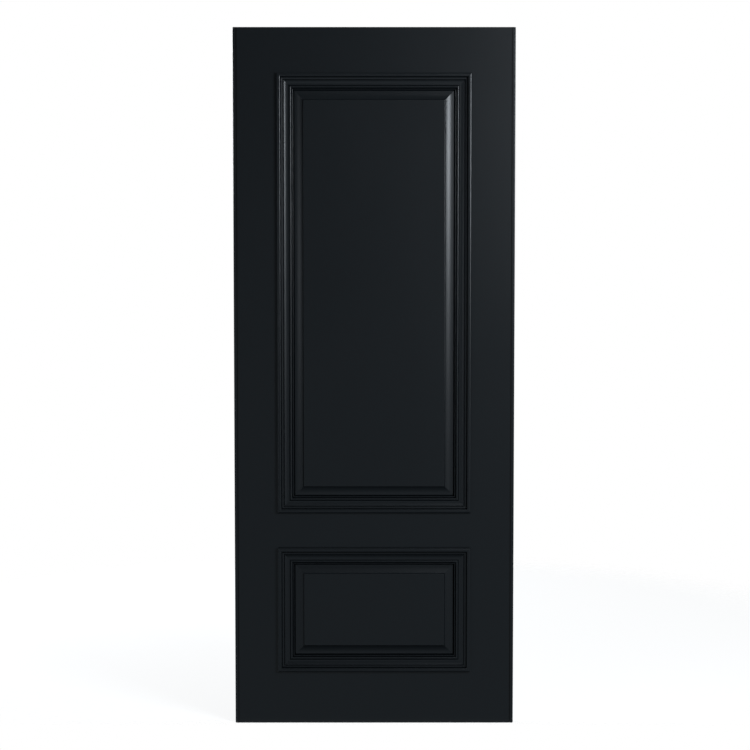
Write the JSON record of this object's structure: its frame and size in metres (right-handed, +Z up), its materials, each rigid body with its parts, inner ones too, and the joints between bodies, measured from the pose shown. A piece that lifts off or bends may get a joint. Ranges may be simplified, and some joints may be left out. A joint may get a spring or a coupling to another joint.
{
  "type": "panelled interior door",
  "caption": "Panelled interior door leaf with raised and fielded panels framed by bolection mouldings, painted satin black, made to be hung on hinges.",
  "frame": {"origin": "middle of the leaf's bottom edge, at half its thickness", "axes": "+X to the right seen from the front, +Y through the thickness away from the front face, +Z up the leaf"},
  "size_m": [0.82, 0.064, 2.04],
  "materials": {
    "frame_paint": "satin black paint on stiles, rails and lipping",
    "moulding_paint": "satin black paint on mouldings",
    "panel_paint": "satin black paint on panels",
    "tenon_beech": "bare beech"
  },
  "bodies": {
    "root": {"bottom_rail": "frame_paint", "bottom_rail_tenons": "tenon_beech", "left_lipping": "frame_paint", "left_stile": "frame_paint", "lock_rail": "frame_paint", "lock_rail_tenons": "tenon_beech", "lower_back_moulding_bottom": "moulding_paint", "lower_back_moulding_left": "moulding_paint", "lower_back_moulding_right": "moulding_paint", "lower_back_moulding_top": "moulding_paint", "lower_front_moulding_bottom": "moulding_paint", "lower_front_moulding_left": "moulding_paint", "lower_front_moulding_right": "moulding_paint", "lower_front_moulding_top": "moulding_paint", "lower_panel": "panel_paint", "right_lipping": "frame_paint", "right_stile": "frame_paint", "top_rail": "frame_paint", "top_rail_tenons": "tenon_beech", "upper_back_moulding_bottom": "moulding_paint", "upper_back_moulding_left": "moulding_paint", "upper_back_moulding_right": "moulding_paint", "upper_back_moulding_top": "moulding_paint", "upper_front_moulding_bottom": "moulding_paint", "upper_front_moulding_left": "moulding_paint", "upper_front_moulding_right": "moulding_paint", "upper_front_moulding_top": "moulding_paint", "upper_panel": "panel_paint"}
  },
  "joints": []
}
